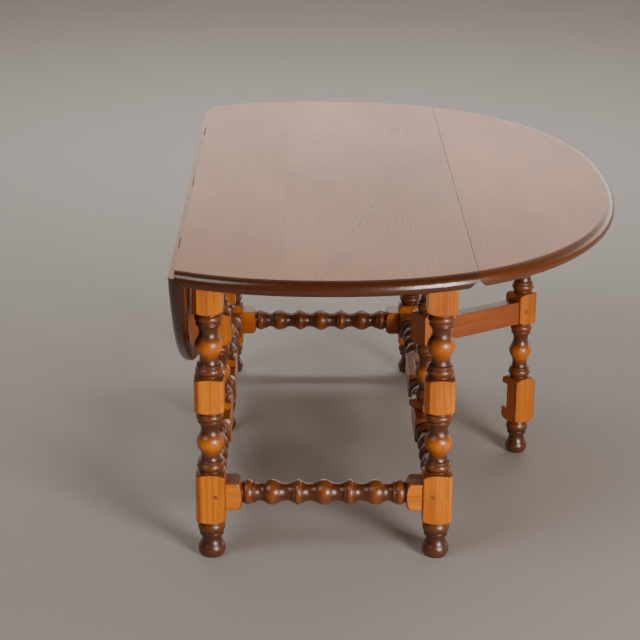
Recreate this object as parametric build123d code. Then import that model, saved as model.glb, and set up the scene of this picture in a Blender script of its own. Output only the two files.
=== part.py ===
from build123d import *
import os
from math import cos, sin, pi

os.makedirs("parts", exist_ok=True)

# ---------------------------------------------------------------- driving dimensions (mm)
# Table frame: X across the table, Y along it, Z up from the floor, centred on the four legs.
HEIGHT = 479.0
TOP_THICK = 22.0
UNDER_TOP = HEIGHT - TOP_THICK
TOP_HALF_W = 453.0
TOP_HALF_L = 535.0
OUTLINE_POWER = 2.25
OUTLINE_POINTS = 48
EDGE_ROUND_TOP = 12.0
EDGE_ROUND_BOTTOM = 9.5

HINGE_X = 204.5
BUTT_DEPTH = 9.0
HINGE_Z = HEIGHT - BUTT_DEPTH
BUTT_GAP = 0.7

LEG_X = 166.0
LEG_Y = 373.0
LEG_SQ = 43.0
LEG_CHAMFER = 6.0
LOW_BLOCK = (57.0, 136.0)
MID_BLOCK = (231.0, 285.0)
HIGH_BLOCK = (382.0, UNDER_TOP)

RAIL_SQ = 39.0
STRETCHER_Z = (80.0, 121.0)
STRETCHER_END_SQUARE = 24.0
PIVOT_BLOCK = (-150.0, -40.0)
LAP_BLOCK = (40.0, 150.0)
TENON_LONG = 20.0
TENON_SHORT = 15.0
TENON_THICK = 10.0
TENON_HIGH = 28.0
GATE_TENON_HIGH = 26.0
TENON_SHOULDERS = 12.0

APRON_THICK = 32.0
APRON_Z = (402.0, UNDER_TOP)
END_RAIL_THICK = 22.0
END_RAIL_Z = (412.0, UNDER_TOP)

GATE_SQ = 38.0
GATE_PIVOT_Y = -95.0
GATE_REACH = 190.0
GATE_OPEN_DEG = 58.0
GATE_RAIL_Z = (235.0, 273.0)
GATE_RAIL_X = (-5.5, 16.5)
LAP_DEPTH = 13.0
LAP_CLEAR = 0.35
LAP_ROOM = 2.0
NOTCH_ROOM = 0.7
FOOT_LIFT = 0.4
HEAD_GAP = 0.25
PIVOT_R = 8.0
PIVOT_CLEAR = 0.05
PIVOT_LONG = 20.0

PEG_R = 2.7
PEG_LONG = 25.0
PEG_INSET_END = 7.0
PEG_INSET_SIDE = 10.0
PEG_INSET_GATE = 6.0

HINGE_YS = (-330.0, 0.0, 330.0)
HINGE_LONG = 50.0
KNUCKLE_R = 2.6
PIN_R = 1.3
PLATE_THICK = 1.5
PLATE_WIDE = 17.0
SCREW_AT = 11.0
SCREW_PITCH = 30.0

TOP_BLOCK_SQ = 22.0
TOP_BLOCK_LONG = 50.0
TOP_BLOCK_YS = (-230.0, 0.0, 230.0)
TOP_SCREW_HEAD_R = 4.0
TOP_SCREW_R = 2.0
TOP_SCREW_HEAD = 3.0
TOP_SCREW_LONG = 32.0

# Rest pose: the left leaf hangs, the right leaf is up, so the box is not centred on the legs.
# The row's origin is the middle of that box on the floor.
LEFT_EXTREME = -(HINGE_X + BUTT_DEPTH)
SHIFT_X = -(TOP_HALF_W + LEFT_EXTREME) / 2

nodes = {}


# ---------------------------------------------------------------- small helpers
def block(x0, x1, y0, y1, z0, z1):
    """Box between two corners."""
    size = Box(x1 - x0, y1 - y0, z1 - z0)
    return Pos((x0 + x1) / 2, (y0 + y1) / 2, (z0 + z1) / 2) * size


def cove_for(crown, curve, neck, mid, offset):
    """Radius of the cove that is tangent to a ball's arc, and the point where the two meet."""
    centre = crown - curve
    gap = neck - centre
    cove = (gap ** 2 + offset ** 2 - curve ** 2) / (2 * (curve - gap))
    share = curve / (curve + cove)
    return cove, (centre + share * (gap + cove), mid + share * offset)


# Where a shoulder's arc passes, as shares of its width and its height.
BEND_OUT = 0.62
BEND_UP = 0.30


class Turning:
    """Builds a lathe profile from the bottom up, as lines, beads, coves and balls."""

    def __init__(self, radius, height):
        self.edges = []
        self.at = (radius, height)

    def to(self, radius, height):
        if abs(radius - self.at[0]) > 1e-6 or abs(height - self.at[1]) > 1e-6:
            self.edges.append(Line(self.at, (radius, height)))
            self.at = (radius, height)
        return self

    def bead(self, root, crown, height):
        """Half-round ring, from the present height up to height."""
        self.to(root, self.at[1])
        middle = (self.at[1] + height) / 2
        self.edges.append(ThreePointArc(self.at, (crown, middle), (root, height)))
        self.at = (root, height)
        return self

    def bulge(self, crown, curve, neck, mid, neck_low, high, neck_high):
        """Cove, ball and cove as tangent arcs. The ball's widest radius is crown at height mid, and its
        arc's radius is curve. The coves are narrowest (neck) at neck_low below and neck_high above mid.
        With neck_low of None the ball starts from the present point with no cove under it."""
        centre = crown - curve
        start = self.at
        if neck_low is None:
            ball_start = start
        else:
            cove, ball_start = cove_for(crown, curve, neck, mid, -neck_low)
            reach = mid - neck_low - start[1]
            foot = (neck + cove - (cove ** 2 - reach ** 2) ** 0.5, start[1])
            self.to(*foot)
            self.edges.append(ThreePointArc(foot, (neck, mid - neck_low), ball_start))
        cove, ball_end = cove_for(crown, curve, neck, mid, neck_high)
        self.edges.append(ThreePointArc(ball_start, (centre + curve, mid), ball_end))
        reach = high - mid - neck_high
        end = (neck + cove - (cove ** 2 - reach ** 2) ** 0.5, high)
        self.edges.append(ThreePointArc(ball_end, (neck, mid + neck_high), end))
        self.at = end
        return self

    def shoulder(self, corner_radius, drop, rising):
        """Rounded end of a square: from the turned neck out to the square's corner, or back."""
        radius, height = self.at
        if rising:
            end = (corner_radius, height + drop)
            bend = (radius + BEND_OUT * (corner_radius - radius), height + BEND_UP * drop)
        else:
            end = (self.neck, height + drop)
            bend = (self.neck + BEND_OUT * (radius - self.neck), height + (1 - BEND_UP) * drop)
        self.edges.append(ThreePointArc(self.at, bend, end))
        self.at = end
        return self


# Turned parts of the legs, as shares of half the square, and the lengths of their rings.
SHOULDER = 8.0
SHOULDER_NECK = 0.80
CORNER = 1.46
VASE_CROWN = 0.94
VASE_ROOT = 0.80
VASE_FILLET = 0.83
VASE_NECK = 0.62
VASE_BALL = 0.95
VASE_CURVE = 0.81
VASE_NECK_AT = 20.5
VASE_DROP = 1.8
BEAD_FROM = 3.0
BEAD_TO = 14.0
FILLET_TO = 18.0
FOOT_BULB = 0.94
FOOT_CURVE = 0.70
FOOT_NECK = 0.65
FOOT_RING = 0.83
FOOT_ROOT = 0.80
FOOT_BULB_Z = 10.0
FOOT_NECK_UP = 19.5
FOOT_RING_Z = (34.0, 38.5)


def square_section(turning, half, z_end):
    """Leave room for a square up to z_end: rounded shoulder, plain run, rounded shoulder."""
    turning.neck = SHOULDER_NECK * half
    turning.to(turning.neck, turning.at[1])
    turning.shoulder(CORNER * half, SHOULDER, True)
    turning.to(CORNER * half, z_end - SHOULDER)
    turning.shoulder(CORNER * half, SHOULDER, False)


def vase_section(turning, half, z_end):
    """Bead, fillet, neck, ball, neck, fillet, bead between two squares."""
    z0 = turning.at[1]
    mid = (z0 + z_end) / 2 - VASE_DROP
    crown = VASE_CROWN * half
    root = VASE_ROOT * half
    fillet_r = VASE_FILLET * half
    turning.to(root, z0 + BEAD_FROM)
    turning.bead(root, crown, z0 + BEAD_TO)
    turning.to(fillet_r, z0 + BEAD_TO)
    turning.to(fillet_r, z0 + FILLET_TO)
    high = z_end - FILLET_TO
    turning.bulge(VASE_BALL * half, VASE_CURVE * half, VASE_NECK * half, mid, VASE_NECK_AT, high,
                  VASE_NECK_AT)
    turning.to(fillet_r, high)
    turning.to(fillet_r, z_end - BEAD_TO)
    turning.to(root, z_end - BEAD_TO)
    turning.bead(root, crown, z_end - BEAD_FROM)
    turning.to(root, z_end)


def foot_section(half, z0, z_end):
    """Bulb foot, neck, fillet and bead under the lowest square."""
    ring_low, ring_high = (z0 + z for z in FOOT_RING_Z)
    crown = FOOT_BULB * half
    curve = FOOT_CURVE * half
    base = crown - curve + (curve ** 2 - FOOT_BULB_Z ** 2) ** 0.5
    turning = Turning(base, z0)
    turning.bulge(crown, curve, FOOT_NECK * half, z0 + FOOT_BULB_Z, None, ring_low, FOOT_NECK_UP)
    turning.to(FOOT_RING * half, ring_low)
    turning.to(FOOT_RING * half, ring_high)
    turning.bead(FOOT_ROOT * half, VASE_CROWN * half, z_end - BEAD_FROM)
    turning.to(FOOT_ROOT * half, z_end)
    return turning


def leg_turning(half, z0, z_top):
    """Whole profile of a leg: foot, square, vase, square, vase, square."""
    turning = foot_section(half, z0, LOW_BLOCK[0])
    square_section(turning, half, LOW_BLOCK[1])
    vase_section(turning, half, MID_BLOCK[0])
    square_section(turning, half, MID_BLOCK[1])
    vase_section(turning, half, HIGH_BLOCK[0])
    turning.neck = SHOULDER_NECK * half
    turning.to(turning.neck, HIGH_BLOCK[0])
    turning.shoulder(CORNER * half, SHOULDER, True)
    turning.to(CORNER * half, z_top)
    return turning


def lathe(turning, z0, z_top):
    """Solid of a profile that starts at z0 and ends at z_top."""
    start = turning.edges[0] @ 0
    end = turning.edges[-1] @ 1
    edges = [Line((0, z0), (start.X, start.Y))] + turning.edges
    edges += [Line((end.X, end.Y), (0, z_top)), Line((0, z_top), (0, z0))]
    return revolve(Plane.XZ * make_face(Curve() + edges), Axis.Z)


# ---------------------------------------------------------------- top
def outline_point(angle):
    """Point of the superellipse outline."""
    c = cos(angle)
    s = sin(angle)
    power = 2 / OUTLINE_POWER
    x = TOP_HALF_W * abs(c) ** power * (1 if c >= 0 else -1)
    y = TOP_HALF_L * abs(s) ** power * (1 if s >= 0 else -1)
    return (x, y)


def whole_top():
    """Oval slab with a rounded edge, before it is cut into a centre board and two leaves."""
    step = 2 * pi / OUTLINE_POINTS
    outline = Spline(*[outline_point((i + 0.5) * step) for i in range(OUTLINE_POINTS)], periodic=True)
    slab = Pos(0, 0, UNDER_TOP) * extrude(make_face(outline), TOP_THICK)
    slab = fillet(slab.edges().group_by(Axis.Z)[-1], EDGE_ROUND_TOP)
    return fillet(slab.edges().group_by(Axis.Z)[0], EDGE_ROUND_BOTTOM)


def prism_xz(points):
    """Long prism along Y with the given (x, z) section."""
    return extrude(Plane.XZ * make_face(Polyline(*points, close=True)), 2 * TOP_HALF_L, both=True)


def split_top():
    """Centre board and right leaf. Each meeting edge is square above and bevelled 45 degrees below."""
    slab = whole_top()
    bevel = TOP_THICK - BUTT_DEPTH
    x_board = HINGE_X - BUTT_GAP / 2
    x_leaf = HINGE_X + BUTT_GAP / 2
    far = 2 * TOP_HALF_W
    board = slab & prism_xz([
        (-x_board, HEIGHT + 1), (x_board, HEIGHT + 1), (x_board, HINGE_Z),
        (x_board - bevel - 1, UNDER_TOP - 1), (-x_board + bevel + 1, UNDER_TOP - 1), (-x_board, HINGE_Z),
    ])
    leaf = slab & prism_xz([
        (x_leaf, HEIGHT + 1), (far, HEIGHT + 1), (far, UNDER_TOP - 1),
        (x_leaf + bevel + 1, UNDER_TOP - 1), (x_leaf, HINGE_Z),
    ])
    return board, leaf


# ---------------------------------------------------------------- screws and hinges
SLOT_LONG = 2.2
SLOT_WIDE = 0.7
SLOT_DEEP = 0.8
POCKET_ROOM = 0.3
# Local hinge frame: X along the plate away from the pin, Y along the pin, Z into the wood.
# The pin's axis is the origin; the plate's exposed face lies PLATE_OFF above it.
PLATE_OFF = BUTT_GAP / 2 / 2 ** 0.5
KNUCKLES = 5
KNUCKLE_GAP = 0.25
KNUCKLE_ROOM = 0.7
HINGE_SCREW_HEAD_R = 2.6
HINGE_SCREW_R = 1.4
HINGE_SCREW_LONG = 12.0


def on_board(part):
    """Lay a local hinge part on the centre board's right bevel."""
    return Pos(HINGE_X, 0, HINGE_Z) * Rot(0, 135, 0) * Rot(180, 0, 0) * part


def on_leaf(part):
    """Lay a local hinge part on the raised right leaf's bevel."""
    mirrored = mirror(part, Plane.YZ)
    return Pos(HINGE_X, 0, HINGE_Z) * Rot(0, -135, 0) * Rot(180, 0, 0) * mirrored


def knuckle_spans(first):
    """Y spans of every other knuckle, starting with the given one."""
    long = HINGE_LONG / KNUCKLES
    spans = []
    for i in range(first, KNUCKLES, 2):
        low = -HINGE_LONG / 2 + i * long
        spans.append((low + KNUCKLE_GAP / 2, low + long - KNUCKLE_GAP / 2))
    return spans


def rod_y(radius, y0, y1):
    return Pos(0, (y0 + y1) / 2, 0) * Rot(90, 0, 0) * Cylinder(radius, y1 - y0)


def screw_up(head_r, shank_r, head_deep, long):
    """Countersunk screw that points up from its head's face at the origin."""
    head = Pos(0, 0, head_deep / 2) * Cone(head_r, shank_r, head_deep)
    return head + Pos(0, 0, (head_deep + long) / 2) * Cylinder(shank_r, long - head_deep)


def slotted(screw, head_r):
    """Cut the driver slot across a screw's head."""
    return screw - Box(SLOT_LONG * head_r, SLOT_WIDE, SLOT_DEEP)


def hinge_half(first):
    """One plate with its knuckles, its screws, and the two cutters that make room for them."""
    plate_z = (PLATE_OFF, PLATE_OFF + PLATE_THICK)
    clear = KNUCKLE_R + KNUCKLE_ROOM
    half = HINGE_LONG / 2
    plate = block(clear, PLATE_WIDE, -half, half, *plate_z)
    for y0, y1 in knuckle_spans(first):
        plate += block(0, clear, y0, y1, *plate_z)
        plate += rod_y(KNUCKLE_R, y0, y1)
    plate -= rod_y(PIN_R + PIVOT_CLEAR, -half - 1, half + 1)
    screws = []
    cores = []
    for y in (-SCREW_PITCH / 2, SCREW_PITCH / 2):
        core = screw_up(HINGE_SCREW_HEAD_R, HINGE_SCREW_R, PLATE_THICK, HINGE_SCREW_LONG)
        seat = Pos(SCREW_AT, y, PLATE_OFF)
        screws.append(seat * slotted(core, HINGE_SCREW_HEAD_R))
        cores.append(seat * core)
        plate -= seat * core
    room = half + POCKET_ROOM
    pocket = block(0, PLATE_WIDE + POCKET_ROOM, -room, room, -POCKET_ROOM, plate_z[1])
    pocket += rod_y(clear, -room, room)
    return plate, screws, pocket, cores


def side_hinges(place, first):
    """All hinge halves of one side of the joint, placed by the given function."""
    plates = []
    screws = []
    cutters = []
    plate, half_screws, pocket, cores = hinge_half(first)
    for y in HINGE_YS:
        plates.append(Pos(0, y, 0) * place(plate))
        screws += [Pos(0, y, 0) * place(s) for s in half_screws]
        cutters.append(Pos(0, y, 0) * place(pocket))
        cutters += [Pos(0, y, 0) * place(c) for c in cores]
    return plates, screws, cutters


def hang(part):
    """Turn a part of the raised left leaf down to the hanging pose."""
    axis = Axis((-HINGE_X, 0, HINGE_Z), (0, 1, 0))
    return part.rotate(axis, -90)


def left(part):
    return mirror(part, Plane.YZ)


# ---------------------------------------------------------------- frame legs
def corner_cut(x, y, z_span):
    """Cutter for the flat on the upright corner of a square at (x, y)."""
    side = LEG_CHAMFER * 2 ** 0.5
    z_mid = (z_span[0] + z_span[1]) / 2
    return Pos(x, y, z_mid) * Rot(0, 0, 45) * Box(side, side, z_span[1] - z_span[0])


def frame_leg():
    """Right-hand back leg, centred on its own axis; the outer corner is at +X +Y."""
    half = LEG_SQ / 2
    body = lathe(leg_turning(half, 0, UNDER_TOP), 0, UNDER_TOP)
    square = Pos(0, 0, UNDER_TOP / 2) * Box(LEG_SQ, LEG_SQ, UNDER_TOP)
    leg = body & square
    leg -= corner_cut(half, half, (0, UNDER_TOP))
    for sx, sy in ((1, -1), (-1, 1), (-1, -1)):
        leg -= corner_cut(sx * half, sy * half, MID_BLOCK)
    return leg


def tenon_x(x_face, y_mid, z_span, sign):
    """Stub tenon along X that starts at a leg's inner face; sign is the way it points."""
    z_mid = (z_span[0] + z_span[1]) / 2
    high = min(TENON_HIGH, z_span[1] - z_span[0] - TENON_SHOULDERS)
    x0, x1 = sorted((x_face, x_face + sign * TENON_LONG))
    return block(x0, x1, y_mid - TENON_THICK / 2, y_mid + TENON_THICK / 2, z_mid - high / 2, z_mid + high / 2)


def tenon_y(y_face, x_mid, z_span, sign):
    """Stub tenon along Y that starts at a leg's inner face; sign is the way it points."""
    z_mid = (z_span[0] + z_span[1]) / 2
    high = min(TENON_HIGH, z_span[1] - z_span[0] - TENON_SHOULDERS)
    y0, y1 = sorted((y_face, y_face + sign * TENON_SHORT))
    return block(x_mid - TENON_THICK / 2, x_mid + TENON_THICK / 2, y0, y1, z_mid - high / 2, z_mid + high / 2)


def peg(x, y, z, direction):
    """Dowel peg whose outer end is at the given point and which runs inwards along direction."""
    rod = Cylinder(PEG_R, PEG_LONG, align=(Align.CENTER, Align.CENTER, Align.MIN))
    return Plane((x, y, z), z_dir=direction) * rod


# ---------------------------------------------------------------- stretchers
BALL_R = 18.9
BALL_CURVE = 17.5
NECK_SHARE = 0.7
NECK_LEAST = 17.7
DISC_R = 19.0
DISC_HALF = 5.4
RING_R = 16.2
RING_LONG = 3.2
NECK_R = 12.7
END_RUN = 2.0
END_R = 15.5
END_BEAD = 14.0
END_BEAD_R = 18.8
RAIL_SHOULDER = 6.4
END_PITCH = 76.0
SIDE_PITCH = 78.2


def neck_offset(gap):
    """How far a ball's neck lies from its middle, when the next ring starts at gap."""
    return max(NECK_SHARE * gap, NECK_LEAST)


def spindle(length, pitch, balls):
    """Turned run between two squares, from height 0 to length: an end bead and ring at each end, and
    balls at the given pitch with a disc between each two."""
    bead_end = END_RUN + END_BEAD
    end = bead_end + RING_LONG
    disc_reach = DISC_HALF + RING_LONG
    turning = Turning(END_R, 0)
    turning.to(END_R, END_RUN)
    turning.bead(END_R, END_BEAD_R, bead_end)
    turning.to(RING_R, end)
    for i in range(balls):
        mid = length / 2 + (i - (balls - 1) / 2) * pitch
        disc = mid + pitch / 2
        last = i == balls - 1
        high = length - end if last else disc - disc_reach
        low_gap = mid - turning.at[1]
        turning.bulge(BALL_R, BALL_CURVE, NECK_R, mid, neck_offset(low_gap), high, neck_offset(high - mid))
        turning.to(RING_R, high)
        if not last:
            turning.to(RING_R, disc - DISC_HALF)
            turning.bead(RING_R, DISC_R, disc + DISC_HALF)
            turning.to(RING_R, disc + disc_reach)
    turning.to(RING_R, length - bead_end)
    turning.bead(END_R, END_BEAD_R, length - END_RUN)
    turning.to(END_R, length)
    return lathe(turning, 0, length)


def rounded_square(length, round_low, round_high):
    """Square run of a stretcher along Z, with the lathe's rounded shoulder at the given ends."""
    half = RAIL_SQ / 2
    turning = Turning(CORNER * half, 0)
    if round_low:
        turning = Turning(END_R, 0)
        turning.shoulder(CORNER * half, RAIL_SHOULDER, True)
    turning.neck = END_R
    top = length - RAIL_SHOULDER if round_high else length
    turning.to(CORNER * half, top)
    if round_high:
        turning.shoulder(CORNER * half, RAIL_SHOULDER, False)
    high = STRETCHER_Z[1] - STRETCHER_Z[0]
    return lathe(turning, 0, length) & (Pos(0, 0, length / 2) * Box(RAIL_SQ, high, length))


def stack(pieces):
    """Join runs of a stretcher end to end along Z; each piece is (length, solid)."""
    z = 0
    whole = None
    for length, solid in pieces:
        placed = Pos(0, 0, z) * solid
        whole = placed if whole is None else whole + placed
        z += length
    return whole


STRETCHER_MID_Z = (STRETCHER_Z[0] + STRETCHER_Z[1]) / 2


def end_stretcher():
    """Front or back stretcher along X, centred on X = 0, at Y = 0."""
    span = 2 * LEG_X - LEG_SQ
    turned = span - 2 * STRETCHER_END_SQUARE
    run = spindle(turned, END_PITCH, 3)
    square_low = rounded_square(STRETCHER_END_SQUARE, False, True)
    square_high = rounded_square(STRETCHER_END_SQUARE, True, False)
    bar = stack([(STRETCHER_END_SQUARE, square_low), (turned, run), (STRETCHER_END_SQUARE, square_high)])
    bar = Pos(-span / 2, 0, STRETCHER_MID_Z) * Rot(0, 90, 0) * Rot(0, 0, 90) * bar
    for sign in (-1, 1):
        bar += tenon_x(sign * span / 2, 0, STRETCHER_Z, sign)
    return bar


def side_stretcher():
    """Right side stretcher along Y at X = 0, with a pivot square and a lap square."""
    span = 2 * LEG_Y - LEG_SQ
    low = -span / 2
    long_run = PIVOT_BLOCK[0] - low - STRETCHER_END_SQUARE
    short_run = LAP_BLOCK[0] - PIVOT_BLOCK[1]
    outer = spindle(long_run, SIDE_PITCH, 2)
    inner = spindle(short_run, 0.0, 1)
    square = PIVOT_BLOCK[1] - PIVOT_BLOCK[0]
    bar = stack([
        (STRETCHER_END_SQUARE, rounded_square(STRETCHER_END_SQUARE, False, True)),
        (long_run, outer),
        (square, rounded_square(square, True, True)),
        (short_run, inner),
        (square, rounded_square(square, True, True)),
        (long_run, outer),
        (STRETCHER_END_SQUARE, rounded_square(STRETCHER_END_SQUARE, True, False)),
    ])
    bar = Pos(0, low, STRETCHER_MID_Z) * Rot(-90, 0, 0) * bar
    for sign in (-1, 1):
        bar += tenon_y(sign * span / 2, 0, STRETCHER_Z, sign)
    bar -= lap_cut(*STRETCHER_Z)
    hole = Cylinder(PIVOT_R + PIVOT_CLEAR, PIVOT_LONG + 1, align=(Align.CENTER, Align.CENTER, Align.MAX))
    return bar - Pos(0, GATE_PIVOT_Y, STRETCHER_Z[1] + 1) * hole


def lap_cut(z0, z1):
    """Room for the closed gate leg in a rail at X = 0: open outwards, with swing clearance."""
    half = GATE_SQ / 2
    y_mid = GATE_PIVOT_Y + GATE_REACH
    x_in = -half + LAP_DEPTH - LAP_CLEAR
    return block(x_in, LEG_SQ, y_mid - half - LAP_ROOM, y_mid + half + LAP_ROOM / 2, z0 - 1, z1 + 1)


def side_apron():
    """Right side apron along Y at X = 0, under the centre board."""
    span = 2 * LEG_Y - LEG_SQ
    half = APRON_THICK / 2
    bar = block(-half, half, -span / 2, span / 2, *APRON_Z)
    for sign in (-1, 1):
        bar += tenon_y(sign * span / 2, 0, APRON_Z, sign)
    bar -= lap_cut(*APRON_Z)
    hole = Cylinder(PIVOT_R + PIVOT_CLEAR, PIVOT_LONG + 1, align=(Align.CENTER, Align.CENTER, Align.MIN))
    return bar - Pos(0, GATE_PIVOT_Y, APRON_Z[0] - 1) * hole


def end_rail():
    """Front or back rail under the top, along X at Y = 0."""
    span = 2 * LEG_X - LEG_SQ
    half = END_RAIL_THICK / 2
    bar = block(-span / 2, span / 2, -half, half, *END_RAIL_Z)
    for sign in (-1, 1):
        bar += tenon_x(sign * span / 2, 0, END_RAIL_Z, sign)
    return bar


# ---------------------------------------------------------------- gate, closed, pivot on X = 0, Y = 0
GATE_RAIL_MID_Z = (GATE_RAIL_Z[0] + GATE_RAIL_Z[1]) / 2
GATE_RAIL_MID_X = (GATE_RAIL_X[0] + GATE_RAIL_X[1]) / 2


def gate_tenon(y_face, sign):
    """Stub tenon of the gate's rail, into its leg or its pivot post."""
    y_mid = y_face + sign * TENON_LONG / 2
    return Pos(GATE_RAIL_MID_X, y_mid, GATE_RAIL_MID_Z) * Box(TENON_THICK, TENON_LONG, GATE_TENON_HIGH)


def gate_parts():
    """Gate leg, rail, pivot post and pegs in the closed pose."""
    half = GATE_SQ / 2
    head = UNDER_TOP - HEAD_GAP
    leg = lathe(leg_turning(half, FOOT_LIFT, head), FOOT_LIFT, head)
    leg &= Pos(0, 0, head / 2) * Box(GATE_SQ, GATE_SQ, head)
    for z0, z1 in (STRETCHER_Z, APRON_Z):
        leg -= block(-half - 1, -half + LAP_DEPTH, -half - 1, half + 1, z0 - NOTCH_ROOM, z1 + NOTCH_ROOM)
    for sx in (-1, 1):
        leg -= corner_cut(sx * half, half, MID_BLOCK)
    leg = Pos(0, GATE_REACH, 0) * leg

    base = STRETCHER_Z[1] + FOOT_LIFT
    top = APRON_Z[0] - FOOT_LIFT
    turning = Turning(CORNER * half, base)
    turning.neck = SHOULDER_NECK * half
    turning.to(CORNER * half, LOW_BLOCK[1] - SHOULDER)
    turning.shoulder(CORNER * half, SHOULDER, False)
    vase_section(turning, half, MID_BLOCK[0])
    square_section(turning, half, MID_BLOCK[1])
    vase_section(turning, half, HIGH_BLOCK[0])
    turning.to(turning.neck, HIGH_BLOCK[0])
    turning.shoulder(CORNER * half, SHOULDER, True)
    turning.to(CORNER * half, top)
    post = lathe(turning, base, top)
    post &= Pos(0, 0, (base + top) / 2) * Box(GATE_SQ, GATE_SQ, top - base)
    pivot = Cylinder(PIVOT_R, top - base + 2 * (PIVOT_LONG - 1))
    post += Pos(0, 0, (base + top) / 2) * pivot

    rail = block(*GATE_RAIL_X, half, GATE_REACH - half, *GATE_RAIL_Z)
    tenons = [gate_tenon(half, -1), gate_tenon(GATE_REACH - half, 1)]
    peg_ys = (PEG_INSET_GATE, GATE_REACH - PEG_INSET_GATE)
    pegs = [peg(half, y, GATE_RAIL_MID_Z, (-1, 0, 0)) for y in peg_ys]
    for tenon in tenons:
        rail += tenon
        leg -= tenon
        post -= tenon
    for pin in pegs:
        rail -= pin
        leg -= pin
        post -= pin
    return leg, rail, post, pegs


# ---------------------------------------------------------------- build everything
board, leaf = split_top()

board_plates, board_screws, board_cutters = side_hinges(on_board, 0)
leaf_plates, leaf_screws, leaf_cutters = side_hinges(on_leaf, 1)
for cutter in board_cutters:
    board -= cutter
    board -= left(cutter)
for cutter in leaf_cutters:
    leaf -= cutter

pins = [Pos(HINGE_X, y, HINGE_Z) * rod_y(PIN_R, -HINGE_LONG / 2, HINGE_LONG / 2) for y in HINGE_YS]

# Hardware that holds the top: wooden blocks inside the rails, each with one screw up into the board.
z_low = UNDER_TOP - TOP_BLOCK_SQ
inner_x = LEG_X - APRON_THICK / 2
inner_y = LEG_Y - END_RAIL_THICK / 2
top_blocks = []
top_screws = []
for sx in (-1, 1):
    for y in TOP_BLOCK_YS:
        top_blocks.append(Pos(sx * (inner_x - TOP_BLOCK_SQ / 2), y, z_low + TOP_BLOCK_SQ / 2)
                          * Box(TOP_BLOCK_SQ, TOP_BLOCK_LONG, TOP_BLOCK_SQ))
for sy in (-1, 1):
    top_blocks.append(Pos(0, sy * (inner_y - TOP_BLOCK_SQ / 2), z_low + TOP_BLOCK_SQ / 2)
                      * Box(TOP_BLOCK_LONG, TOP_BLOCK_SQ, TOP_BLOCK_SQ))
for i, wood in enumerate(top_blocks):
    centre = wood.bounding_box().center()
    screw = screw_up(TOP_SCREW_HEAD_R, TOP_SCREW_R, TOP_SCREW_HEAD, TOP_SCREW_LONG)
    screw = Pos(centre.X, centre.Y, z_low) * screw
    top_screws.append(screw)
    top_blocks[i] = wood - screw
    board -= screw

# Frame
leg_local = frame_leg()
stretcher_x = end_stretcher()
stretcher_y = side_stretcher()
apron = side_apron()
rail_x = end_rail()
corner = {"back_right": (1, 1), "back_left": (-1, 1), "front_right": (1, -1), "front_left": (-1, -1)}
half_leg = LEG_SQ / 2
leg_right_back = Pos(LEG_X, LEG_Y, 0) * leg_local
for z_span in (STRETCHER_Z, END_RAIL_Z):
    leg_right_back -= tenon_x(LEG_X - half_leg, LEG_Y, z_span, 1)
for z_span in (STRETCHER_Z, APRON_Z):
    leg_right_back -= tenon_y(LEG_Y - half_leg, LEG_X, z_span, 1)
peg_end = peg(LEG_X - PEG_INSET_END, LEG_Y + half_leg, STRETCHER_MID_Z, (0, -1, 0))
peg_side = peg(LEG_X + half_leg, LEG_Y - PEG_INSET_SIDE, STRETCHER_MID_Z, (-1, 0, 0))
leg_right_back -= peg_end
leg_right_back -= peg_side

stretcher_back = Pos(0, LEG_Y, 0) * stretcher_x - peg_end - left(peg_end)
stretcher_right = Pos(LEG_X, 0, 0) * stretcher_y - peg_side - mirror(peg_side, Plane.XZ)
apron_right = Pos(LEG_X, 0, 0) * apron
rail_back = Pos(0, LEG_Y, 0) * rail_x

frame_pegs = []
for name, (sx, sy) in corner.items():
    leg = leg_right_back
    pair = [peg_end, peg_side]
    if sx < 0:
        leg = left(leg)
        pair = [left(p) for p in pair]
    if sy < 0:
        leg = mirror(leg, Plane.XZ)
        pair = [mirror(p, Plane.XZ) for p in pair]
    nodes["leg_" + name] = leg
    frame_pegs += pair
nodes["stretcher_back"] = stretcher_back
nodes["stretcher_front"] = mirror(stretcher_back, Plane.XZ)
nodes["stretcher_right"] = stretcher_right
nodes["stretcher_left"] = left(stretcher_right)
nodes["apron_right"] = apron_right
nodes["apron_left"] = left(apron_right)
nodes["end_rail_back"] = rail_back
nodes["end_rail_front"] = mirror(rail_back, Plane.XZ)
nodes["stretcher_pegs"] = frame_pegs
nodes["top_blocks"] = top_blocks
nodes["top_screws"] = top_screws
nodes["centre_board"] = board

# Leaves and their hardware
nodes["leaf_right"] = leaf
nodes["leaf_left"] = hang(left(leaf))
nodes["hinge_plates_board_right"] = board_plates
nodes["hinge_plates_board_left"] = [left(p) for p in board_plates]
nodes["hinge_screws_board_right"] = board_screws
nodes["hinge_screws_board_left"] = [left(s) for s in board_screws]
nodes["hinge_plates_leaf_right"] = leaf_plates
nodes["hinge_plates_leaf_left"] = [hang(left(p)) for p in leaf_plates]
nodes["hinge_screws_leaf_right"] = leaf_screws
nodes["hinge_screws_leaf_left"] = [hang(left(s)) for s in leaf_screws]
nodes["hinge_pins_right"] = pins
nodes["hinge_pins_left"] = [left(p) for p in pins]

# Gates: the right one stands open under its leaf, the left one is closed
gate_leg, gate_rail, gate_post, gate_pegs = gate_parts()
gate_right_at = Pos(LEG_X, GATE_PIVOT_Y, 0) * Rot(0, 0, -GATE_OPEN_DEG)
gate_left_at = Pos(LEG_X, GATE_PIVOT_Y, 0)
for name, part in (("leg", gate_leg), ("rail", gate_rail), ("post", gate_post)):
    nodes["gate_" + name + "_right"] = gate_right_at * part
    nodes["gate_" + name + "_left"] = left(gate_left_at * part)
nodes["gate_pegs_right"] = [gate_right_at * p for p in gate_pegs]
nodes["gate_pegs_left"] = [left(gate_left_at * p) for p in gate_pegs]

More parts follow.
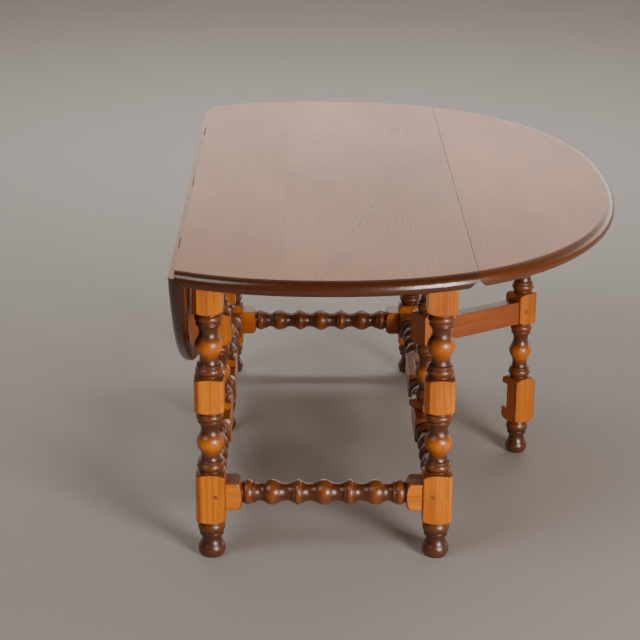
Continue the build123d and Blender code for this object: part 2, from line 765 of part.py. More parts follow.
for name, shape in nodes.items():
    solids = shape if isinstance(shape, list) else [shape]
    group = Compound(children=[Pos(SHIFT_X, 0, 0) * s for s in solids])
    export_step(group, "parts/" + name + ".step")
print("nodes", len(nodes), "shift", SHIFT_X)
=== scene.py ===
import math
from collections import namedtuple

import bpy
from mathutils import Matrix, Vector


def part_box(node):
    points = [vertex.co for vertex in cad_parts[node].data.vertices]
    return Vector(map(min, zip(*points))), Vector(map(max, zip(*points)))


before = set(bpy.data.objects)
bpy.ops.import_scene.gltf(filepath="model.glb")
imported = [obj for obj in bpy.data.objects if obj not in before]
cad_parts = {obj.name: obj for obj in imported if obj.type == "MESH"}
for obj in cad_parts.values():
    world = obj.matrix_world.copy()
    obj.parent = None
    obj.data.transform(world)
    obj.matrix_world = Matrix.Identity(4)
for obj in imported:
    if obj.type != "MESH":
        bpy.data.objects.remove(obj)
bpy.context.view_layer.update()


# ---------------------------------------------------------------- the table, read from the frame
def middle(node):
    low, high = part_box(node)
    return (low + high) / 2


def half_width(node, axis):
    low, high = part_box(node)
    return (high[axis] - low[axis]) / 2


LEG_HALF = half_width("leg_front_right", 0)
STRETCHER_HALF = half_width("stretcher_front", 1)
HALF_BOARD = half_width("centre_board", 0)
BOARD_MID_X = middle("centre_board").x
GATE_HALF = half_width("gate_post_left", 0)
TOP_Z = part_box("leaf_right")[1].z

# Where each ball of a leg has its crown (m above the floor).
BALL_HEIGHTS = (0.1817, 0.3317)

# How far the right gate is swung out in the stored pose.
GATE_OPEN = math.radians(58)


# ---------------------------------------------------------------- node helpers
STEP_INPUTS = ("Value", "From Min", "From Max", "To Min", "To Max")

# Sockets of the colour side of a Mix node.
MIX_FIRST = 6
MIX_SECOND = 7
MIX_RESULT = 2

# Cosines of the bevelled normal with the face's own between which an arris shows, from faint to full.
ARRIS_COSINE = (0.995, 0.90)
BEVEL_SAMPLES = 4


class Graph:
    """A material's node tree, with short ways to add and join nodes."""

    def __init__(self, name):
        self.material = bpy.data.materials.new(name)
        self.material.use_nodes = True
        self.nodes = self.material.node_tree.nodes
        self.links = self.material.node_tree.links
        self.shader = self.nodes["Principled BSDF"]

    def add(self, kind, inputs=None, **settings):
        node = self.nodes.new("ShaderNode" + kind)
        for key, value in settings.items():
            setattr(node, key, value)
        for key, value in (inputs or {}).items():
            self.put(node.inputs[key], value)
        return node

    def put(self, socket, value):
        """Link an output to a socket, or set the socket's own value."""
        if isinstance(value, bpy.types.NodeSocket):
            self.links.new(value, socket)
        else:
            socket.default_value = value

    def math(self, operation, *values):
        return self.add("Math", dict(enumerate(values)), operation=operation).outputs[0]

    def plus(self, a, b):
        return self.math("ADD", a, b)

    def minus(self, a, b):
        return self.math("SUBTRACT", a, b)

    def times(self, a, b):
        return self.math("MULTIPLY", a, b)

    def larger(self, a, b):
        return self.math("MAXIMUM", a, b)

    def distance(self, a, b):
        return self.math("ABSOLUTE", self.minus(a, b))

    def step(self, value, low, high, first=0.0, last=1.0):
        """Smooth step from first at low to last at high."""
        node = self.add("MapRange", interpolation_type="SMOOTHSTEP")
        for key, item in zip(STEP_INPUTS, (value, low, high, first, last)):
            self.put(node.inputs[key], item)
        return node.outputs["Result"]

    def mix(self, factor, a, b):
        inputs = {"Factor": factor, MIX_FIRST: a, MIX_SECOND: b}
        return self.add("Mix", inputs, data_type="RGBA").outputs[MIX_RESULT]

    def noise(self, vector, cells, detail, roughness=0.55):
        """Smooth noise with the given number of cells per metre along each axis."""
        stretched = self.add("Mapping", {"Vector": vector, "Scale": cells}).outputs["Vector"]
        inputs = {"Vector": stretched, "Scale": 1.0, "Detail": detail, "Roughness": roughness}
        return self.add("TexNoise", inputs).outputs[0]

    def moved(self, vector, offset):
        return self.add("VectorMath", {0: vector, 1: offset}, operation="ADD").outputs["Vector"]

    def object_point(self):
        return self.add("TexCoord").outputs["Object"]

    def local_point(self, centre, rotation):
        """Object coordinates seen from a piece's own axes: its length along local Z."""
        inputs = {"Vector": self.object_point(), "Location": centre, "Rotation": rotation}
        return self.add("Mapping", inputs, vector_type="TEXTURE").outputs["Vector"]

    def object_normal(self):
        return self.add("TexCoord").outputs["Normal"]

    def local_normal(self, rotation):
        """The surface's direction seen from a piece's own axes."""
        inputs = {"Vector": self.object_normal(), "Rotation": rotation}
        return self.add("Mapping", inputs, vector_type="TEXTURE").outputs["Vector"]

    def length(self, x, y):
        flat = self.add("CombineXYZ", {0: x, 1: y})
        return self.add("VectorMath", {0: flat.outputs[0]}, operation="LENGTH").outputs["Value"]

    def split(self, vector):
        return self.add("SeparateXYZ", {0: vector}).outputs

    def arris(self, radius):
        """1 at an outer arris and 0 on a flat or a smooth curve, and the rounded normal."""
        rounded = self.add("Bevel", {"Radius": radius}, samples=BEVEL_SAMPLES).outputs[0]
        plain = self.add("NewGeometry").outputs["Normal"]
        cosine = self.add("VectorMath", {0: rounded, 1: plain}, operation="DOT_PRODUCT").outputs["Value"]
        return self.step(cosine, *ARRIS_COSINE), rounded

    def bump(self, height, distance, normal=None):
        node = self.add("Bump", {"Height": height, "Distance": distance, "Strength": 1.0})
        if normal is not None:
            self.put(node.inputs["Normal"], normal)
        return node.outputs[0]

    def finish(self, colour, roughness, normal, **fixed):
        self.put(self.shader.inputs["Base Color"], colour)
        self.put(self.shader.inputs["Roughness"], roughness)
        self.put(self.shader.inputs["Normal"], normal)
        for key, value in fixed.items():
            self.shader.inputs[key.replace("_", " ")].default_value = value
        if "Coat_Weight" in fixed:
            self.put(self.shader.inputs["Coat Normal"], normal)
        return self.material


# ---------------------------------------------------------------- stains (scene-linear colours)
HONEY = (0.74, 0.195, 0.003, 1)
HONEY_DEEP = (0.42, 0.094, 0.002, 1)
# Darker copies of the honey for the gate rail: painted shade, standing in for the weaker key light that
# reaches the gates.
GATE_SHADED_HONEY = (0.33, 0.066, 0.0015, 1)
GATE_SHADED_HONEY_DEEP = (0.19, 0.035, 0.001, 1)
TONER = (0.150, 0.039, 0.0075, 1)
TONER_DARK = (0.085, 0.021, 0.0055, 1)
TONER_MID = (0.30, 0.072, 0.006, 1)
TONER_FOOT = (0.050, 0.0150, 0.0060, 1)

TOP_LIGHT = (0.52, 0.155, 0.026, 1)
TOP_DEEP = (0.42, 0.115, 0.018, 1)
TOP_PORE = (0.060, 0.018, 0.008, 1)
LEAF_LIGHT = (0.66, 0.165, 0.014, 1)
# Painted shade on each top piece's rounded rim, standing in for the dark room it reflects: the lit right
# leaf's rim is lighter, the hung left leaf's darker.
BOARD_RIM_SHADE = (0.066, 0.0165, 0.0045, 1)
LEAF_RIM_SHADE = (0.098, 0.0255, 0.0055, 1)
HUNG_RIM_SHADE = (0.042, 0.0100, 0.0032, 1)

# ---------------------------------------------------------------- grain of a stick
Grain = namedtuple("Grain", "rings pores cloud streaks")

# Noise cells per metre: across, across and along the stick.
BEND_CELLS = (9, 9, 2.2)
PORE_CELLS = (1500, 1500, 45)
CLOUD_CELLS = (14, 14, 4)
STREAK_CELLS = (190, 190, 6)

RINGS_PER_M = 420.0
RING_POWER = 2.2
RING_BEND = 0.022

# The tree's pith lies this far (m) from the stick's axis, give or take the sway.
PITH_X = 0.045
PITH_Y = 0.040
PITH_SWAY = 0.02
PITH_TURN_X = 5.1
PITH_TURN_Y = 3.7

# How far one unit of seed moves the noise along each axis.
SEED_SHIFT = (0.31, 0.17, 0.23)

# Smooth steps: from, to.
PORE_STEP = (0.53, 0.70)
STREAK_STEP = (0.42, 0.68)
CLOUD_STEP = (0.3, 0.7)

# How strongly rings, streaks and pores darken the wood, and how dark they go.
RING_SHARE = 0.45
STREAK_SHARE = 0.42
PORE_SHARE = 0.38
DARKENING = 0.45

# How much the rings stand up where the pores sink by 1.
RING_RELIEF = 0.3


def grain(graph, local, seed):
    """Growth rings, pores, slow clouds and long streaks in a stick whose length is local Z."""
    shifted = graph.moved(local, tuple(share * seed for share in SEED_SHIFT))
    bend = graph.noise(shifted, BEND_CELLS, detail=2.0)
    x, y, _ = graph.split(local)
    from_pith_x = graph.minus(x, PITH_X + PITH_SWAY * math.sin(PITH_TURN_X * seed))
    from_pith_y = graph.minus(y, PITH_Y + PITH_SWAY * math.cos(PITH_TURN_Y * seed))
    radius = graph.plus(graph.length(from_pith_x, from_pith_y), graph.times(bend, RING_BEND))
    saw = graph.math("FRACT", graph.times(radius, RINGS_PER_M))
    return Grain(
        rings=graph.math("POWER", saw, RING_POWER),
        pores=graph.step(graph.noise(shifted, PORE_CELLS, detail=2.0, roughness=0.6), *PORE_STEP),
        cloud=graph.noise(shifted, CLOUD_CELLS, detail=3.0),
        streaks=graph.step(graph.noise(shifted, STREAK_CELLS, detail=3.0), *STREAK_STEP),
    )


def wood_colour(graph, wood, light, deep):
    dark = tuple(DARKENING * c for c in deep[:3]) + (1,)
    colour = graph.mix(graph.step(wood.cloud, *CLOUD_STEP), light, deep)
    colour = graph.mix(graph.times(wood.rings, RING_SHARE), colour, deep)
    colour = graph.mix(graph.times(wood.streaks, STREAK_SHARE), colour, dark)
    return graph.mix(graph.times(wood.pores, PORE_SHARE), colour, dark)


def relief(graph, wood):
    return graph.plus(graph.times(wood.pores, -1.0), graph.times(wood.rings, RING_RELIEF))


# ---------------------------------------------------------------- turned and plain pieces
# Radii, as shares of half the square, between which the toner fades from none to full.
LEG_TONE = (1.12, 0.90)
RAIL_TONE = (1.10, 0.88)
HOLLOW_TONE = (0.93, 0.70)
SQUARE_FROM = (0.98, 0.995)
TONE_BLOTCH = 0.12
CLOUD_MIDDLE = 0.5

# A ball's crown keeps its honey: distances from it (m), and the share of toner left there.
BALL_GLOW = (0.003, 0.023)
BALL_GLOW_DROP = 0.003
BALL_GLOW_LEAST = 0.25

# Faces that look along the piece are the ends of its square blocks; they took the toner.
END_FACING = (0.30, 0.75)
END_TONE = 0.95

# Painted shade: upper faces are darkened with the dark toner colours, standing in for the little light that
# falls on them from above.
UPPER_SHADE = 0.85
UPPER_SHADE_TURNED = (0.15, 0.85)
UPPER_SHADE_PLAIN = (0.3, 0.9)

ARRIS = 0.0028
ARRIS_TONE = 0.65

# The toner first warms the wood, then covers it.
WARM_STEP = (0.0, 0.6)
WARM_SHARE = 0.75
COVER_STEP = (0.3, 1.0)

# Feet are darker below this height (m).
FOOT_HEIGHT = 0.052
FOOT_FADE = 0.010
FOOT_SHARE = 0.6

# Depth of the grain's relief (m), and roughness where the cloud is low and high.
TURNED_RELIEF = 0.00006
PLAIN_RELIEF = 0.00012
TURNED_ROUGH = (0.27, 0.34)
PLAIN_ROUGH = (0.28, 0.40)


def turned_toner(graph, wood, local, rotation, half, tone, balls):
    """How much toner a turned piece shows, and the blotched radius that it goes by."""
    x, y, z = graph.split(local)
    radius = graph.length(x, y)
    blotch = graph.times(graph.minus(wood.cloud, CLOUD_MIDDLE), TONE_BLOTCH * half)
    toned_radius = graph.plus(radius, blotch)
    toner = graph.step(toned_radius, tone[0] * half, tone[1] * half)
    for height in balls:
        gap = graph.distance(z, height - BALL_GLOW_DROP)
        toner = graph.times(toner, graph.step(gap, *BALL_GLOW, BALL_GLOW_LEAST, 1.0))
    square = graph.step(radius, SQUARE_FROM[0] * half, SQUARE_FROM[1] * half)
    toner = graph.times(toner, graph.minus(1.0, square))
    facing = graph.math("ABSOLUTE", graph.split(graph.local_normal(rotation))[2])
    end = graph.times(graph.step(facing, *END_FACING, 0.0, END_TONE), square)
    return graph.larger(toner, end), toned_radius


def turned_wood(name, centre, rotation, half, seed, tone, balls=(), painted_shade=0.0):
    """Stained and lacquered turned piece: dark toner in the hollows, honey on crowns and square faces."""
    graph = Graph(name)
    local = graph.local_point(centre, rotation)
    wood = grain(graph, local, seed)
    # Painted shade: a share of the mid toner darkens the whole piece, standing in for the weaker light on
    # the gates.
    colour = graph.mix(painted_shade, wood_colour(graph, wood, HONEY, HONEY_DEEP), TONER_MID)
    toner, toned_radius = turned_toner(graph, wood, local, rotation, half, tone, balls)
    arris, rounded = graph.arris(ARRIS)
    upward = graph.split(graph.object_normal())[2]
    toner = graph.larger(toner, graph.times(arris, ARRIS_TONE))
    # Painted shade: faces that look up are darkened, as if little light reached them from above.
    toner = graph.larger(toner, graph.step(upward, *UPPER_SHADE_TURNED, 0.0, UPPER_SHADE))
    warm = graph.mix(WARM_SHARE, colour, TONER_MID)
    colour = graph.mix(graph.step(toner, *WARM_STEP), colour, warm)
    depth = graph.step(toned_radius, HOLLOW_TONE[0] * half, HOLLOW_TONE[1] * half)
    colour = graph.mix(graph.step(toner, *COVER_STEP), colour, graph.mix(depth, TONER, TONER_DARK))
    if balls:
        z = graph.split(local)[2]
        foot = graph.step(z, FOOT_HEIGHT, FOOT_HEIGHT - FOOT_FADE, 0.0, FOOT_SHARE)
        colour = graph.mix(foot, colour, TONER_FOOT)
    normal = graph.bump(relief(graph, wood), TURNED_RELIEF, rounded)
    rough = graph.step(wood.cloud, *CLOUD_STEP, *TURNED_ROUGH)
    return graph.finish(colour, rough, normal, Coat_Weight=0.25, Coat_Roughness=0.18)


def plain_wood(name, centre, rotation, seed, light, deep, tone=0.0):
    """Sawn and planed piece with straight grain along local Z."""
    graph = Graph(name)
    wood = grain(graph, graph.local_point(centre, rotation), seed)
    colour = wood_colour(graph, wood, light, deep)
    arris, rounded = graph.arris(ARRIS)
    colour = graph.mix(graph.larger(graph.times(arris, ARRIS_TONE), tone), colour, TONER_MID)
    upward = graph.split(graph.object_normal())[2]
    # Painted shade: faces that look up are darkened towards the dark toner, as if little light reached them
    # from above.
    colour = graph.mix(graph.step(upward, *UPPER_SHADE_PLAIN, 0.0, UPPER_SHADE), colour, TONER_DARK)
    normal = graph.bump(relief(graph, wood), PLAIN_RELIEF, rounded)
    rough = graph.step(wood.cloud, *CLOUD_STEP, *PLAIN_ROUGH)
    return graph.finish(colour, rough, normal, Coat_Weight=0.4, Coat_Roughness=0.14)


# ---------------------------------------------------------------- flat-sawn boards of the top
# arch: where across the board the rings' arches have their ridge (m from its middle); second_arch: the
# same for the stave past the glue line; slope: rings per metre along the board; wander: how many rings
# the slow noise moves them; contrast: how dark they are; knots: across, along, size and rings of each.
Figure = namedtuple("Figure", "arch second_arch glue_line slope wander contrast knots")

BOARD_FIGURE = Figure(
    arch=-0.013, second_arch=-0.150, glue_line=-0.060, slope=24.0, wander=24.0, contrast=0.85,
    knots=(
        (0.026, -0.150, 0.060, 9.0),
        (-0.013, -0.270, 0.090, 8.0),
        (0.000, -0.090, 0.030, 4.0),
        (0.045, 0.330, 0.035, 3.0),
    ),
)

# A leaf is one stave: its glue line lies beyond its edge. Its arch does too, so its rings run straight.
LEAF_FIGURE = Figure(
    arch=0.60, second_arch=0.60, glue_line=-1.0, slope=6.0, wander=6.0, contrast=0.55, knots=(),
)

# The arches' ridge is rounded over about ARCH_ROUNDING m. The faster noise wanders by a share of the slow
# one's. A knot is longer along the board, so distance along it counts for less.
TOP_RINGS_PER_M = 235.0
ARCH_ROUNDING = 0.010
MID_WANDER = 0.22
KNOT_LONG = 0.55

# The second stave has its own noise and fainter rings.
STAVE_SHIFT = 3.7
SECOND_STAVE_FADE = 0.55

# Noise cells per metre: across, along and through the board.
SLOW_CELLS = (7, 3.2, 7)
MID_CELLS = (30, 13, 30)
FADE_CELLS = (24, 5, 24)
DASH_CELLS = (1400, 55, 1400)
TOP_CLOUD_CELLS = (5, 1.6, 5)

# Smooth steps of the saw in each ring: a slow rise, then a sharp end. Four numbers give from, to and
# the values there.
RING_RISE = (0.50, 0.92)
RING_END = (1.0, 0.93)
RING_FADE = (0.36, 0.66, 0.12, 1.0)
DASH_STEP = (0.50, 0.66)
DASH_IN_RING = (0.35, 0.95, 0.25, 1.0)
TOP_PORE_SHARE = 0.30

# Heights (m) below the flat between which the rounded rim's painted shade sets in; its dark colour stands
# in for the dark room reflected in the round-over.
RIM_STEP = (-0.000005, -0.00018)

# The square joint faces are left out of the painted rim shade and keep the top's own colour.
JOINT_FACING = (0.85, 0.95)
JOINT_GAP = (0.003, 0.002)

# Worn arrises, relief of the open grain, and how much smoother the rim is than the flat.
TOP_ARRIS = 0.0015
TOP_ARRIS_SHARE = 0.5
TOP_RELIEF = 0.00007
TOP_ROUGH = (0.27, 0.33)
RIM_GLOSS = 0.04


def ring_field(graph, x, y, shifted, stave, figure):
    """Height field whose contour lines are the growth rings; its saw runs from 0 to 1 in each ring."""
    inputs = {0: stave, 1: figure.second_arch - figure.arch, 2: figure.arch}
    arch_x = graph.add("Math", inputs, operation="MULTIPLY_ADD").outputs[0]
    across = graph.length(graph.minus(x, arch_x), ARCH_ROUNDING)
    field = graph.plus(graph.times(across, TOP_RINGS_PER_M), graph.times(y, figure.slope))
    slow = graph.noise(shifted, SLOW_CELLS, detail=1.0, roughness=0.45)
    mid = graph.noise(shifted, MID_CELLS, detail=2.0, roughness=0.5)
    field = graph.plus(field, graph.times(slow, figure.wander))
    field = graph.plus(field, graph.times(mid, MID_WANDER * figure.wander))
    for knot_x, knot_y, size, turns in figure.knots:
        along = graph.times(graph.minus(y, knot_y), KNOT_LONG)
        away = graph.length(graph.minus(x, knot_x), along)
        field = graph.plus(field, graph.step(away, size, 0.0, 0.0, turns))
    return graph.math("FRACT", field)


def rim_mask(graph, x, z, rotation, joint_x):
    """1 on the rounded rim, 0 on the flat and on the square joint face at joint_x."""
    sideways = graph.math("ABSOLUTE", graph.split(graph.local_normal(rotation))[0])
    gap = graph.distance(x, joint_x)
    joint = graph.times(graph.step(sideways, *JOINT_FACING), graph.step(gap, *JOINT_GAP))
    return graph.times(graph.step(z, *RIM_STEP), graph.minus(1.0, joint))


def top_wood(name, centre, rotation, seed, figure, light, rim_shade_colour, joint_x):
    """Flat-sawn board with its outer face at local Z = 0: growth rings, open pores and a rim painted dark
    as shade.
    """
    graph = Graph(name)
    local = graph.local_point(centre, rotation)
    x, y, z = graph.split(local)
    stave = graph.math("LESS_THAN", x, figure.glue_line)
    inputs = {0: SEED_SHIFT[0] * seed, 1: SEED_SHIFT[1] * seed, 2: graph.times(stave, STAVE_SHIFT)}
    shifted = graph.moved(local, graph.add("CombineXYZ", inputs).outputs[0])
    saw = ring_field(graph, x, y, shifted, stave, figure)
    rings = graph.times(graph.step(saw, *RING_RISE), graph.step(saw, *RING_END))
    fade = graph.noise(shifted, FADE_CELLS, detail=2.0)
    rings = graph.times(rings, graph.step(fade, *RING_FADE))
    rings = graph.times(rings, graph.minus(1.0, graph.times(stave, SECOND_STAVE_FADE)))
    dashes = graph.noise(shifted, DASH_CELLS, detail=2.0, roughness=0.6)
    pores = graph.times(graph.step(dashes, *DASH_STEP), graph.step(saw, *DASH_IN_RING))
    cloud = graph.noise(shifted, TOP_CLOUD_CELLS, detail=3.0)
    rim = rim_mask(graph, x, z, rotation, joint_x)
    arris, rounded = graph.arris(TOP_ARRIS)

    colour = graph.mix(graph.step(cloud, *CLOUD_STEP), light, TOP_DEEP)
    colour = graph.mix(graph.times(rings, figure.contrast), colour, TOP_PORE)
    colour = graph.mix(graph.times(pores, TOP_PORE_SHARE), colour, TOP_PORE)
    # Painted shade: the rounded rim takes the dark rim colour.
    colour = graph.mix(rim, colour, rim_shade_colour)
    colour = graph.mix(graph.times(arris, TOP_ARRIS_SHARE), colour, TOP_PORE)
    height = graph.times(graph.plus(pores, rings), graph.minus(1.0, rim))
    normal = graph.bump(graph.times(height, -1.0), TOP_RELIEF, rounded)
    rough = graph.minus(graph.step(cloud, *CLOUD_STEP, *TOP_ROUGH), graph.times(rim, RIM_GLOSS))
    return graph.finish(colour, rough, normal, Coat_Weight=0.30, Coat_Roughness=0.20)


# ---------------------------------------------------------------- metal and pegs
BRASS = (0.30, 0.19, 0.12, 1)
BRASS_TARNISH = (0.17, 0.105, 0.06, 1)
BRASS_ROUGH = 0.42
STEEL = (0.36, 0.34, 0.31, 1)
STEEL_TARNISH = (0.14, 0.12, 0.10, 1)
STEEL_ROUGH = 0.38

TARNISH_CELLS = (260, 260, 260)
SCRATCH_CELLS = (2200, 120, 2200)
SCRATCH_RELIEF = 0.00005
TARNISH_ROUGHER = 0.2
TARNISH_STEP = (0.4, 0.65)
TARNISH_ROUGH_STEP = (0.35, 0.7)
PEG_CELLS = (900, 900, 900)
PEG_STEP = (0.4, 0.65)
PEG_ROUGH = 0.4
PEG_RELIEF = 0.0001


def metal(name, colour, tarnish, roughness):
    """Aged metal with darker tarnish in blotches and fine scratches."""
    graph = Graph(name)
    point = graph.object_point()
    cloud = graph.noise(point, TARNISH_CELLS, detail=4.0)
    scratch = graph.noise(point, SCRATCH_CELLS, detail=2.0)
    tone = graph.mix(graph.step(cloud, *TARNISH_STEP), colour, tarnish)
    rough = graph.step(cloud, *TARNISH_ROUGH_STEP, roughness, roughness + TARNISH_ROUGHER)
    return graph.finish(tone, rough, graph.bump(scratch, SCRATCH_RELIEF), Metallic=1.0)


def peg_wood(name, seed):
    """Dark end grain of a dowel."""
    graph = Graph(name)
    point = graph.moved(graph.object_point(), tuple(seed / cells for cells in PEG_CELLS))
    spots = graph.noise(point, PEG_CELLS, detail=3.0)
    colour = graph.mix(graph.step(spots, *PEG_STEP), TONER_MID, TONER)
    normal = graph.bump(spots, PEG_RELIEF)
    return graph.finish(colour, PEG_ROUGH, normal, Coat_Weight=0.4, Coat_Roughness=0.2)


# ---------------------------------------------------------------- each node's material
UPRIGHT = (0.0, 0.0, 0.0)
ALONG_X = (0.0, math.pi / 2, 0.0)
ALONG_Y = (-math.pi / 2, 0.0, 0.0)
HUNG = (0.0, -math.pi / 2, 0.0)

SIDES = ("left", "right")
LEGS = ("leg_front_left", "leg_front_right", "leg_back_left", "leg_back_right")
STRETCHERS = (
    ("stretcher_front", ALONG_X), ("stretcher_back", ALONG_X),
    ("stretcher_left", ALONG_Y), ("stretcher_right", ALONG_Y),
)
RAILS = (
    ("apron_left", ALONG_Y), ("apron_right", ALONG_Y),
    ("end_rail_front", ALONG_X), ("end_rail_back", ALONG_X),
)

# Seeds keep the grain of any two pieces apart.
FIRST_SEED = 1.0
SEED_STEP = 1.3
STRETCHER_PEG_SEED = 2.0
BOARD_SEED = 3.0
LEAF_RIGHT_SEED = 7.7
LEAF_LEFT_SEED = 12.1
GATE_SEEDS = {"left": 21.0, "right": 27.4}
GATE_LEG_SEED_STEP = 1.1
GATE_RAIL_SEED_STEP = 2.3

RAIL_DARK = 0.25
GATE_RAIL_DARK = 0.1
# Painted shade: how far the gates' turned pieces are darkened, standing in for the weaker key light that
# reaches them.
GATE_PAINTED_SHADE = 0.35


def wear(node, material):
    """Give a carried-over node its material."""
    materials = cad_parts[node].data.materials
    materials.clear()
    materials.append(material)


def standing(node):
    """The foot of a standing piece's axis."""
    centre = middle(node)
    return (centre.x, centre.y, 0)


def dress_frame():
    seed = FIRST_SEED
    for node in LEGS:
        name = node + "_wood"
        wear(node, turned_wood(name, standing(node), UPRIGHT, LEG_HALF, seed, LEG_TONE, BALL_HEIGHTS))
        seed += SEED_STEP
    for node, axis in STRETCHERS:
        name = node + "_wood"
        wear(node, turned_wood(name, middle(node), axis, STRETCHER_HALF, seed, RAIL_TONE))
        seed += SEED_STEP
    for node, axis in RAILS:
        name = node + "_wood"
        wear(node, plain_wood(name, middle(node), axis, seed, HONEY, HONEY_DEEP, RAIL_DARK))
        seed += SEED_STEP
    wear("top_blocks", plain_wood("block_wood", (0, 0, 0), ALONG_Y, seed, HONEY, HONEY_DEEP))
    wear("stretcher_pegs", peg_wood("stretcher_peg_wood", STRETCHER_PEG_SEED))


def dress_gate(side, turn):
    """One gate's pieces; turn is how it stands in the stored pose, about the vertical."""
    seed = GATE_SEEDS[side]
    for part, shift in (("gate_post_", 0.0), ("gate_leg_", GATE_LEG_SEED_STEP)):
        node = part + side
        wear(node, turned_wood(node + "_wood", standing(node), (0, 0, turn), GATE_HALF, seed + shift,
                               LEG_TONE, BALL_HEIGHTS, GATE_PAINTED_SHADE))
    rail = "gate_rail_" + side
    wear(rail, plain_wood(rail + "_wood", middle(rail), (-math.pi / 2, 0, turn), seed + GATE_RAIL_SEED_STEP,
                          GATE_SHADED_HONEY, GATE_SHADED_HONEY_DEEP, GATE_RAIL_DARK))
    wear("gate_pegs_" + side, peg_wood("gate_peg_%s_wood" % side, seed))


def dress_top():
    above = (BOARD_MID_X, 0, TOP_Z)
    wear("centre_board", top_wood("centre_board_wood", above, UPRIGHT, BOARD_SEED, BOARD_FIGURE,
                                  TOP_LIGHT, BOARD_RIM_SHADE, HALF_BOARD))
    wear("leaf_right", top_wood("leaf_right_wood", above, UPRIGHT, LEAF_RIGHT_SEED, LEAF_FIGURE,
                                LEAF_LIGHT, LEAF_RIM_SHADE, HALF_BOARD))
    low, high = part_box("leaf_left")
    outside = (low.x, 0, high.z)
    wear("leaf_left", top_wood("leaf_left_wood", outside, HUNG, LEAF_LEFT_SEED, LEAF_FIGURE,
                               LEAF_LIGHT, HUNG_RIM_SHADE, 0.0))


def dress_metal():
    brass = metal("aged_brass", BRASS, BRASS_TARNISH, BRASS_ROUGH)
    steel = metal("dull_steel", STEEL, STEEL_TARNISH, STEEL_ROUGH)
    for side in SIDES:
        for part in ("hinge_plates_board_", "hinge_plates_leaf_", "hinge_pins_"):
            wear(part + side, brass)
        for part in ("hinge_screws_board_", "hinge_screws_leaf_"):
            wear(part + side, steel)
    wear("top_screws", steel)


# ---------------------------------------------------------------- stage
FLOOR_SIZE = 30.0
FLOOR_CELLS = (3, 3, 3)
FLOOR_DARK = (0.40, 0.365, 0.335, 1)
FLOOR_PALE = (0.43, 0.39, 0.36, 1)
FLOOR_ROUGH = 0.8
FLOOR_RELIEF = 0.0002

# Room light: (axis of the view direction, from, to, strength at from, strength at to); they multiply.
ROOM_COLOUR = (1.06, 0.90, 0.79, 1)
ROOM = (
    (1, 0.0, 0.75, 0.04, 1.0),
    (0, -0.9, 0.2, 0.3, 1.0),
    (2, 0.18, 0.38, 2.3, 0.55),
)

# Softboxes: name, place, aim, size (m), power (W), colour.
SOFTBOXES = (
    ("key", (1.5, -2.4, 0.74), (-0.1, 0, 0.25), (0.9, 0.9), 88, (1, 0.97, 0.92)),
    ("left_fill", (-2.0, -1.7, 2.6), (-0.1, 0, 0.3), (1.6, 1.6), 32, (1, 1, 1)),
    ("backdrop_light", (-0.1, 1.6, 2.4), (-0.1, 3.8, 0), (3.0, 1.0), 70, (1, 1, 1)),
)


def make_floor():
    half = FLOOR_SIZE / 2
    mesh = bpy.data.meshes.new("floor")
    corners = [(-half, -half, 0), (half, -half, 0), (half, half, 0), (-half, half, 0)]
    mesh.from_pydata(corners, [], [(0, 1, 2, 3)])
    floor = bpy.data.objects.new("floor", mesh)
    bpy.context.scene.collection.objects.link(floor)
    graph = Graph("floor_paint")
    cloud = graph.noise(graph.object_point(), FLOOR_CELLS, detail=4.0)
    colour = graph.mix(cloud, FLOOR_DARK, FLOOR_PALE)
    mesh.materials.append(graph.finish(colour, FLOOR_ROUGH, graph.bump(cloud, FLOOR_RELIEF)))


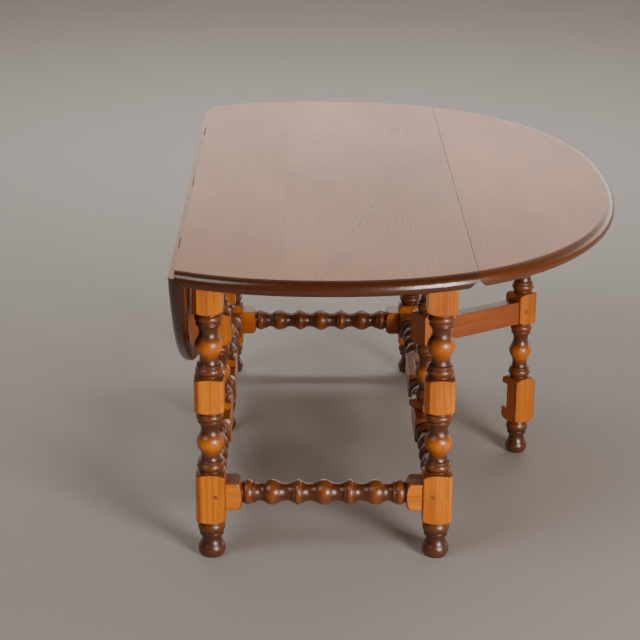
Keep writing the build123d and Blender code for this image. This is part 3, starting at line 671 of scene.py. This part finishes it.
def make_world():
    """Dim in front and on the left, bright low behind the table where a pale wall would stand."""
    world = bpy.data.worlds.new("studio")
    bpy.context.scene.world = world
    world.use_nodes = True
    nodes = world.node_tree.nodes
    links = world.node_tree.links
    background = nodes["Background"]
    background.inputs["Color"].default_value = ROOM_COLOUR
    direction = nodes.new("ShaderNodeTexCoord").outputs["Generated"]
    split = nodes.new("ShaderNodeSeparateXYZ")
    links.new(direction, split.inputs[0])
    product = None
    for axis, *ends in ROOM:
        ramp = nodes.new("ShaderNodeMapRange")
        ramp.interpolation_type = "SMOOTHSTEP"
        for key, value in zip(STEP_INPUTS[1:], ends):
            ramp.inputs[key].default_value = value
        links.new(split.outputs[axis], ramp.inputs["Value"])
        if product is None:
            product = ramp.outputs["Result"]
            continue
        times = nodes.new("ShaderNodeMath")
        times.operation = "MULTIPLY"
        links.new(product, times.inputs[0])
        links.new(ramp.outputs["Result"], times.inputs[1])
        product = times.outputs[0]
    links.new(product, background.inputs["Strength"])


def softbox(name, place, aim, size, power, colour):
    light = bpy.data.lights.new(name, "AREA")
    light.shape = "RECTANGLE"
    light.size, light.size_y = size
    light.energy = power
    light.color = colour
    box = bpy.data.objects.new(name, light)
    box.location = place
    box.rotation_mode = "QUATERNION"
    box.rotation_quaternion = (Vector(aim) - Vector(place)).to_track_quat("-Z", "Y")
    bpy.context.scene.collection.objects.link(box)


# ---------------------------------------------------------------- camera
# Angles in radians: turned right of +Y, tilted down, rolled about the view; lens and sensor in mm.
CAMERA_AT = (-0.145017, -2.776002, 1.237317)
CAMERA_YAW = 0.007488
CAMERA_DOWN = 0.346625
CAMERA_ROLL = 0.005458
CAMERA_LENS = 101.141
SENSOR = 36.0


def make_camera():
    flat_ahead = Vector((math.sin(CAMERA_YAW), math.cos(CAMERA_YAW), 0))
    ahead = math.cos(CAMERA_DOWN) * flat_ahead - math.sin(CAMERA_DOWN) * Vector((0, 0, 1))
    level = Vector((math.cos(CAMERA_YAW), -math.sin(CAMERA_YAW), 0))
    up = level.cross(ahead)
    across = math.cos(CAMERA_ROLL) * level + math.sin(CAMERA_ROLL) * up
    upward = math.cos(CAMERA_ROLL) * up - math.sin(CAMERA_ROLL) * level
    turn = Matrix((across, upward, -ahead)).transposed()
    data = bpy.data.cameras.new("camera")
    data.sensor_width = SENSOR
    data.lens = CAMERA_LENS
    camera = bpy.data.objects.new("camera", data)
    camera.matrix_world = Matrix.Translation(CAMERA_AT) @ turn.to_4x4()
    bpy.context.scene.collection.objects.link(camera)
    bpy.context.scene.camera = camera


dress_frame()
dress_gate("left", 0.0)
dress_gate("right", -GATE_OPEN)
dress_top()
dress_metal()
make_floor()
make_world()
for box_values in SOFTBOXES:
    softbox(*box_values)
make_camera()
